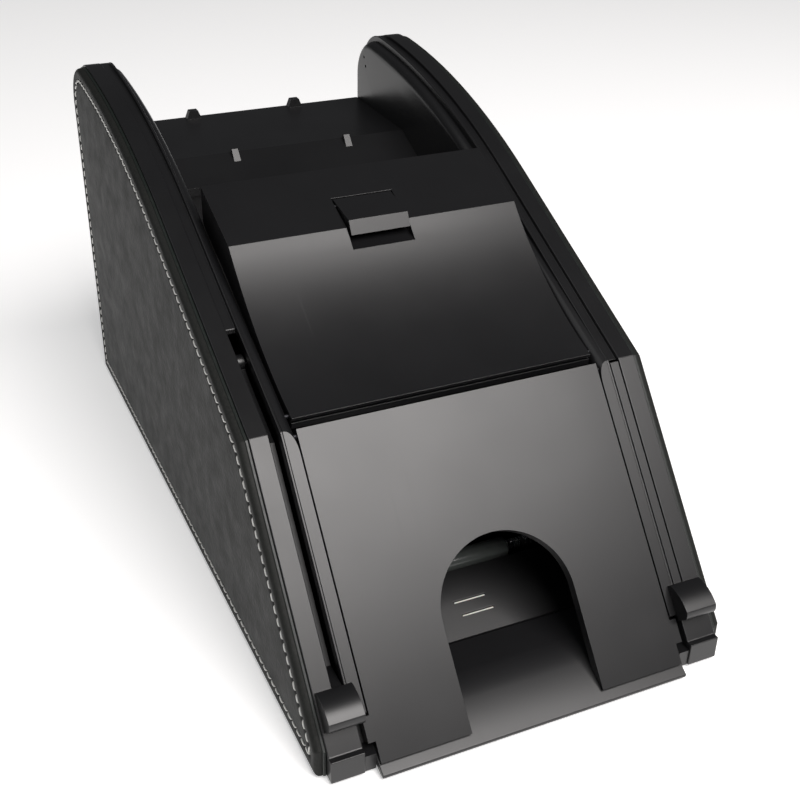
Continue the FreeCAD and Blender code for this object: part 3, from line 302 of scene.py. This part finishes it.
def nylon(name, colour):
    """Natural nylon, a little translucent, with grease in its hollows."""
    look = Look(name, ior=1.53, subsurface_weight=0.15, subsurface_scale=1.5 * MM)
    grease = look.noise(3 * MM, detail=4)
    body = look.mottle(grease, (0.5, 0.75), colour, 1.0, 0.75)
    look.set(base_color=body, roughness=look.remap(grease, MOST_NOISE, (0.45, 0.3)),
             normal=look.bump(look.noise(0.6 * MM), 0.01 * MM))
    return look.material


def lacquered_board(name, colour):
    """Green solder mask over a grid of copper tracks, with the weave of the glass under it."""
    look = Look(name, ior=1.5, coat_weight=0.4, coat_roughness=0.1)
    pin_pitch = 2.54 * MM
    tracks = look.add("TexBrick", {"Vector": look.place, "Scale": 1 / (6 * pin_pitch), "Mortar Size": 0.02},
                      output="Fac")
    weave = look.noise(0.5 * MM, detail=1)
    body = look.tint(tracks, colour, shade(colour, 1.7))
    look.set(base_color=body, roughness=look.remap(weave, MOST_NOISE, (0.25, 0.4)),
             normal=look.bump(tracks, 0.03 * MM))
    return look.material


def pale_floor(name, colour):
    """A plain pale surface with the faintest unevenness."""
    look = Look(name, ior=1.4)
    body = look.tint(look.noise(0.4, detail=3), shade(colour, 0.995), colour)
    look.set(base_color=body, roughness=0.7, emission_color=colour, emission_strength=0.4)
    return look.material


BLACK = (0.0068, 0.0068, 0.0074)
# How each finish is made: its colour, then its roughness and its texture's depth in mm where they differ.
FINISHES = {
    "housing_plastic": (moulded_plastic, BLACK, 0.33),
    "satin_plastic": (scratched_plastic, shade(BLACK, 1.1), 0.31),
    "gloss_plastic": (scratched_plastic, shade(BLACK, 1.2), 0.36),
    "leather": (leather, (0.0135, 0.0142, 0.0132)),
    "thread": (thread, (0.8, 0.8, 0.77)),
    "board": (board_edge, (0.006, 0.0085, 0.0072)),
    "rubber": (soft_rubber, (0.02, 0.02, 0.021), 0.75),
    "tyre_rubber": (soft_rubber, (0.09, 0.09, 0.088), 0.8),
    "roller_grey": (ground_sleeve, (0.1, 0.11, 0.105)),
    "bronze": (sintered_bronze, (0.55, 0.36, 0.16)),
    "motor_steel": (turned_metal, (0.45, 0.45, 0.46), 0.35),
    "steel": (turned_metal, (0.56, 0.56, 0.57), 0.25),
    "black_steel": (turned_metal, (0.03, 0.03, 0.033), 0.4),
    "gear_nylon": (nylon, (0.72, 0.71, 0.66)),
    "circuit_green": (lacquered_board, (0.02, 0.11, 0.05)),
    "component_black": (moulded_plastic, (0.02, 0.02, 0.02), 0.4, 0.01),
}
MATERIALS = {name: make(name, *values) for name, (make, *values) in FINISHES.items()}


# ---------------------------------------------------------------- mesh tools
def slot_of(node):
    """The material slot that the record gives a node."""
    return next(part["material_slot"] for part in frame["record"]["subparts"] if part["node"] == node)


def new_piece(name, mesh, body, slot, material=None, replaced=()):
    """An object that rides on a body, takes its finish from a slot, and stands for CAD nodes."""
    piece = bpy.data.objects.new(name, mesh)
    bpy.context.scene.collection.objects.link(piece)
    mesh.materials.clear()
    mesh.materials.append(MATERIALS[material or slot])
    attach(piece, body)
    if replaced:
        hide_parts(*replaced)
    return piece


def finished(maker, name):
    """The mesh that a bmesh holds, with its normals turned outwards."""
    bmesh.ops.recalc_face_normals(maker, faces=maker.faces)
    mesh = bpy.data.meshes.new(name)
    maker.to_mesh(mesh)
    maker.free()
    return mesh


# ---------------------------------------------------------------- outlines
def sides_of(loop):
    """The (start, end) pairs of an outline's sides."""
    return list(zip(loop, loop[1:] + loop[:1]))


def corners_of(loop):
    """Each point of an outline, with the directions of the sides before and after it."""
    for number, point in enumerate(loop):
        before = (point - loop[number - 1]).normalized()
        after = (loop[(number + 1) % len(loop)] - point).normalized()
        yield point, before, after


def without_straight_points(loop):
    """The outline anticlockwise, without the points that lie on a straight run."""
    straight = math.cos(math.radians(0.2))
    kept = [point for point, before, after in corners_of(loop) if before.dot(after) < straight]
    area = sum(a.x * b.y - b.x * a.y for a, b in sides_of(kept))
    return kept if area > 0 else kept[::-1]


def inset_loop(loop, distance):
    """The outline with every side moved inwards by the same distance."""
    moved = []
    for point, before, after in corners_of(loop):
        inward = Vector((-before.y - after.y, before.x + after.x))
        moved.append(point + inward * (distance / (1 + before.dot(after))))
    return moved


def divided_loop(loop, counts):
    """The outline with each side cut into its own number of equal steps."""
    points = []
    for (start, end), count in zip(sides_of(loop), counts):
        points += [start.lerp(end, step / count) for step in range(count)]
    return points


def walk(loop, pitch):
    """Evenly spaced (point, direction) pairs all round an outline."""
    sides = sides_of(loop)
    lengths = [(end - start).length for start, end in sides]
    count = round(sum(lengths) / pitch)
    step = sum(lengths) / count
    stops = []
    number, passed = 0, 0.0
    for stop in range(count):
        reach = (stop + 0.5) * step
        while passed + lengths[number] < reach:
            passed += lengths[number]
            number += 1
        start, end = sides[number]
        direction = (end - start).normalized()
        stops.append((start + direction * (reach - passed), direction))
    return stops


def inside(point, loop):
    """True if the point is within an outline that runs anticlockwise and is convex."""
    return all((end - start).cross(point - start) > 0 for start, end in sides_of(loop))


def staggered_grid(low, high, spacing):
    """Points in rows over a rectangle, every second row half a space further along."""
    points = []
    for row in range(int((high.y - low.y) / spacing) + 1):
        for column in range(int((high.x - low.x) / spacing) + 1):
            points.append(low + Vector(((column + 0.5 * (row % 2)) * spacing, row * spacing)))
    return points


def side_outline(node, across):
    """The corners of a CAD node's flat face at one distance across, in order, as (back, up)."""
    mesh = CAD_NODES[node].data
    tolerance, digits = 0.01 * MM, 7
    on_face = []
    for face in mesh.polygons:
        points = [mesh.vertices[index].co for index in face.vertices]
        if all(abs(point.x - across) < tolerance for point in points):
            on_face += sides_of([(round(point.y, digits), round(point.z, digits)) for point in points])
    # Two faces that meet share a side, one in each direction, so the rest are the border.
    border = {start: end for start, end in on_face if (end, start) not in on_face}
    loop = [next(iter(border))]
    while border[loop[-1]] != loop[0]:
        loop.append(border[loop[-1]])
    return without_straight_points([Vector(point) for point in loop])


# ---------------------------------------------------------------- leather panels
STITCH_PITCH = 3.6 * MM
STEPS_PER_STITCH = 8
STITCH_LONG = 2.95 * MM
STITCH_INSET = 4.5 * MM
THREAD_RADIUS = 0.33 * MM
EDGE_ROUND = 1.7 * MM
SKIN_SPACING = 3.2 * MM
# How far in each ring of a panel's points lies, in mm: closest together over the edge and at the groove.
RING_INSETS = [0.0, 0.12, 0.4, 0.8, 1.2, 1.7, 2.4, 3.1, 3.6, 4.0, 4.3, 4.5, 4.7, 5.0, 5.4, 6.0, 6.6]


def leather_height(inset, along, thickness):
    """How far the leather stands off its board: a rounded edge, a sewn groove, a soft middle."""
    cut_share, round_share = 0.25, 0.75
    if inset < EDGE_ROUND:
        return thickness * (cut_share + round_share * math.sqrt(1 - (1 - inset / EDGE_ROUND) ** 2))
    groove_half, valley_half, valley_depth = 0.75 * MM, 2.0 * MM, 0.16 * MM
    at_hole = 0.5 + 0.5 * math.cos(2 * math.pi * along / STITCH_PITCH)
    groove_depth = (0.22 + 0.3 * at_hole) * MM
    groove = math.exp(-((inset - STITCH_INSET) / groove_half) ** 2)
    valley = math.exp(-((inset - STITCH_INSET) / valley_half) ** 2)
    return thickness - groove_depth * groove - valley_depth * valley


def skin_height(point, thickness):
    """How far the middle of a panel stands off its board: nearly flat, in long shallow waves."""
    wave = math.sin(point.x / (17 * MM)) * math.cos(point.y / (23 * MM) + point.x / (41 * MM))
    return thickness - (0.05 + 0.04 * wave) * MM


def panel_rings(maker, outline, board, sign, thickness):
    """Rings of points from the panel's flat back, over its rounded edge, and past the sewn groove."""
    step = STITCH_PITCH / STEPS_PER_STITCH
    counts = [max(1, round((end - start).length / step)) for start, end in sides_of(outline)]
    sewn = divided_loop(inset_loop(outline, STITCH_INSET), counts)
    *along, whole = accumulate(((end - start).length for start, end in sides_of(sewn)), initial=0.0)
    fit = round(whole / STITCH_PITCH) * STITCH_PITCH / whole

    def ring(inset, heights):
        points = divided_loop(inset_loop(outline, inset), counts)
        return [maker.verts.new((board + sign * height, point.x, point.y))
                for point, height in zip(points, heights)]

    rings = [ring(0.0, [0.0] * len(along))]
    for inset in RING_INSETS:
        heights = [leather_height(inset * MM, place * fit, thickness) for place in along]
        rings.append(ring(inset * MM, heights))
    return rings


def fill_middle(maker, ring, board, sign, thickness):
    """Fills a panel inside its last ring with a soft, slightly uneven skin."""
    border = [Vector((vertex.co.y, vertex.co.z)) for vertex in ring]
    low = Vector((min(point.x for point in border), min(point.y for point in border)))
    high = Vector((max(point.x for point in border), max(point.y for point in border)))
    inner = inset_loop(without_straight_points(border), SKIN_SPACING / 2)
    grid = [point for point in staggered_grid(low, high, SKIN_SPACING) if inside(point, inner)]
    count = len(border)
    keep_inside, tolerance = 1, 1e-7
    points, _, faces, sources, _, _ = delaunay_2d_cdt(
        border + grid, sides_of(list(range(count))), [], keep_inside, tolerance)
    vertices = []
    for point, source in zip(points, sources):
        if source and source[0] < count:
            vertices.append(ring[source[0]])
        else:
            height = skin_height(point, thickness)
            vertices.append(maker.verts.new((board + sign * height, point.x, point.y)))
    for face in faces:
        maker.faces.new([vertices[index] for index in face])


def leather_panel(side):
    """The padded leather side, sewn all round just inside its edge."""
    node = f"leather_panel_{side}"
    low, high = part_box(node)
    sign = SIDES[side]
    board = low.x if sign > 0 else high.x
    thickness = high.x - low.x
    outline = side_outline(node, board)
    maker = bmesh.new()
    rings = panel_rings(maker, outline, board, sign, thickness)
    for outer, inner in zip(rings, rings[1:]):
        for (first, second), (third, fourth) in zip(sides_of(outer), sides_of(inner)):
            maker.faces.new((first, second, fourth, third))
    maker.faces.new(rings[0])
    fill_middle(maker, rings[-1], board, sign, thickness)
    mesh = finished(maker, f"leather_{side}")
    mesh.shade_smooth()
    mesh.set_sharp_from_angle(angle=math.radians(60))
    piece = new_piece(f"leather_{side}", mesh, "housing", "leather", replaced=[node])
    stitches(side, outline, board, thickness)


def stitches(side, outline, board, thickness):
    """The saddle stitches of one panel, each a short waxed thread that dips in at both ends."""
    chance = random.Random(side)
    sign = SIDES[side]
    maker = bmesh.new()
    twist = maker.loops.layers.uv.new("twist")
    groove_depth = 0.5 * MM
    bed = board + sign * (thickness - groove_depth)
    lean, sway = 9, 5
    for point, direction in walk(inset_loop(outline, STITCH_INSET), STITCH_PITCH):
        slant = math.radians(lean + chance.uniform(-sway, sway))
        heading = Vector((direction.x * math.cos(slant) - direction.y * math.sin(slant),
                          direction.x * math.sin(slant) + direction.y * math.cos(slant)))
        reach = STITCH_LONG / 2 * chance.uniform(0.94, 1.04)
        stitch(maker, twist, point, heading, reach, bed, sign)
    mesh = finished(maker, f"stitches_{side}")
    mesh.shade_smooth()
    new_piece(f"stitches_{side}", mesh, "housing", "leather", material="thread")


def stitch(maker, twist, point, heading, reach, bed, sign):
    """One stitch: a tube that rises out of its hole, lies flat, and goes down again."""
    rings, around = 9, 8
    arch, buried, flatness = 0.62 * MM, 0.28 * MM, 0.8
    twists_along, twists_around = 1.5, 0.5
    beside = Vector((-heading.y, heading.x))
    loops = []
    for number in range(rings):
        share = 2 * number / (rings - 1) - 1
        middle = point + heading * (reach * share)
        rise = arch * math.sqrt(1 - share ** 4) - buried
        swell = THREAD_RADIUS * (0.72 + 0.28 * math.sqrt(1 - share ** 2))
        loop = []
        for turn in range(around):
            angle = 2 * math.pi * turn / around
            place = middle + beside * (swell * math.cos(angle))
            height = rise + flatness * swell * math.sin(angle)
            loop.append(maker.verts.new((bed + sign * height, place.x, place.y)))
        loops.append(loop)
    for number, (near, far) in enumerate(zip(loops, loops[1:])):
        for turn in range(around):
            after = (turn + 1) % around
            face = maker.faces.new((near[turn], near[after], far[after], far[turn]))
            spots = ((number, turn), (number, turn + 1), (number + 1, turn + 1), (number + 1, turn))
            for corner, (u, v) in zip(face.loops, spots):
                corner[twist].uv = (u / (rings - 1) * twists_along, v / around * twists_around)
    maker.faces.new(loops[0])
    maker.faces.new(loops[-1])


# ---------------------------------------------------------------- plastics and fittings
EDGE_SEGMENTS = 3
# In degrees: gentler bends than this aren't rounded.
LEAST_EDGE_ANGLE = 20
# The radius of each piece's edges in mm, on the left and the right piece where there are two.
EDGE_RADII = {
    "side_housing": 0.45, "inner_side_plate": 0.3, "backing_board": 0.25,
    "front_plate": 0.5, "lid": 0.45, "latch_tab": 0.35, "catch_lever": 0.3,
    "delivery_tray": 0.3, "ramp_plate": 0.45, "card_tray": 0.25,
    "rear_deck": 0.35, "rear_panel": 0.35,
    "switch_frame": 0.3, "switch_rocker": 0.4, "power_inlet": 0.2,
    "rubber_feet": 0.4,
}


def joined_copy(node):
    """A bmesh of a CAD node, with its points joined and its flat faces whole."""
    source = CAD_NODES[node].data
    together, sliver, flat = 0.002 * MM, 0.001 * MM, math.radians(0.3)
    maker = bmesh.new()
    points = [maker.verts.new(vertex.co) for vertex in source.vertices]
    for face in source.polygons:
        maker.faces.new([points[index] for index in face.vertices])
    bmesh.ops.remove_doubles(maker, verts=maker.verts, dist=together)
    bmesh.ops.dissolve_degenerate(maker, edges=maker.edges, dist=sliver)
    bmesh.ops.dissolve_limit(maker, verts=maker.verts, edges=maker.edges, angle_limit=flat)
    return maker


def rounded_copy(node, radius):
    """Replaces a CAD node with the same shape, its edges rounded as a mould leaves them."""
    mesh = finished(joined_copy(node), node + "_skin")
    mesh.shade_smooth()
    body = CAD_NODES[node]["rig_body"]
    piece = new_piece(node + "_skin", mesh, body, slot_of(node), replaced=[node])
    bevel = piece.modifiers.new("edges", "BEVEL")
    bevel.width = radius
    bevel.segments = EDGE_SEGMENTS
    bevel.limit_method = "ANGLE"
    bevel.angle_limit = math.radians(LEAST_EDGE_ANGLE)
    bevel.harden_normals = True
    bevelled = piece.evaluated_get(bpy.context.evaluated_depsgraph_get())
    made = bpy.data.meshes.new_from_object(bevelled)
    piece.modifiers.clear()
    piece.data = made


def plastics():
    """The plastic pieces, the backing boards and the feet, with rounded edges."""
    for name, radius in EDGE_RADII.items():
        for node in (name, name + "_left", name + "_right"):
            if node in CAD_NODES:
                rounded_copy(node, radius * MM)


def carried_over():
    """Every CAD node that is still shown gets the material of its slot."""
    for node, piece in CAD_NODES.items():
        if piece.hide_render:
            continue
        piece.data.materials.clear()
        piece.data.materials.append(MATERIALS[slot_of(node)])


# ---------------------------------------------------------------- stage
def floor():
    """A wide pale surface under the feet."""
    low, _ = cad_box
    half = 6.0
    corners = [(-half, -half, low.z), (half, -half, low.z), (half, half, low.z), (-half, half, low.z)]
    mesh = bpy.data.meshes.new("floor")
    mesh.from_pydata(corners, [], [(0, 1, 2, 3)])
    mesh.materials.append(pale_floor("pale_floor", (0.93, 0.93, 0.93)))
    piece = bpy.data.objects.new("floor", mesh)
    bpy.context.scene.collection.objects.link(piece)


def direction_to(azimuth, elevation):
    """The direction from the object to a point seen at an azimuth and elevation, in degrees."""
    turn, rise = math.radians(azimuth), math.radians(elevation)
    return Vector((math.sin(turn) * math.cos(rise), -math.cos(turn) * math.cos(rise), math.sin(rise)))


def softbox(name, azimuth, elevation, distance, size, watts, tint=(1, 1, 1)):
    """A rectangular area light aimed at the object's middle."""
    low, high = cad_box
    middle = (low + high) / 2
    lamp = bpy.data.lights.new(name, "AREA")
    lamp.shape = "RECTANGLE"
    lamp.size, lamp.size_y = size
    lamp.energy = watts
    lamp.color = tint
    piece = bpy.data.objects.new(name, lamp)
    bpy.context.scene.collection.objects.link(piece)
    away = direction_to(azimuth, elevation)
    piece.location = middle + away * distance
    piece.rotation_euler = away.to_track_quat("Z", "Y").to_euler()


def lights():
    """A dim even room, a warm softbox above the front and a broad fill at the left."""
    world = bpy.data.worlds.new("studio")
    bpy.context.scene.world = world
    world.use_nodes = True
    background = world.node_tree.nodes["Background"]
    background.inputs["Color"].default_value = (0.95, 0.97, 1.0, 1)
    background.inputs["Strength"].default_value = 0.07
    softbox("front_box", azimuth=15, elevation=51, distance=1.3, size=(0.95, 0.8), watts=23,
            tint=(1.0, 0.97, 0.955))
    softbox("left_fill", azimuth=-90, elevation=58, distance=1.8, size=(1.6, 1.6), watts=5)


def camera():
    """The camera at the photograph's angle, aimed at the machine's middle plane."""
    low, _ = cad_box
    azimuth, elevation, roll, distance = -25.0, 30.7, 1.1, 0.411
    aim_back, aim_up = 0.102, 0.055
    target = Vector((0, low.y + aim_back, aim_up))
    lens = bpy.data.cameras.new("camera")
    lens.lens = 55.7
    lens.clip_start = 0.01
    piece = bpy.data.objects.new("camera", lens)
    bpy.context.scene.collection.objects.link(piece)
    away = direction_to(azimuth, elevation)
    piece.location = target + away * distance
    level = away.to_track_quat("Z", "Y")
    tilt = Matrix.Rotation(math.radians(roll), 3, "Z").to_quaternion()
    piece.rotation_euler = (level @ tilt).to_euler()
    bpy.context.scene.camera = piece


# ---------------------------------------------------------------- the whole scene
for side in SIDES:
    leather_panel(side)
plastics()
carried_over()
floor()
lights()
camera()
bpy.context.scene.view_settings.view_transform = "Standard"
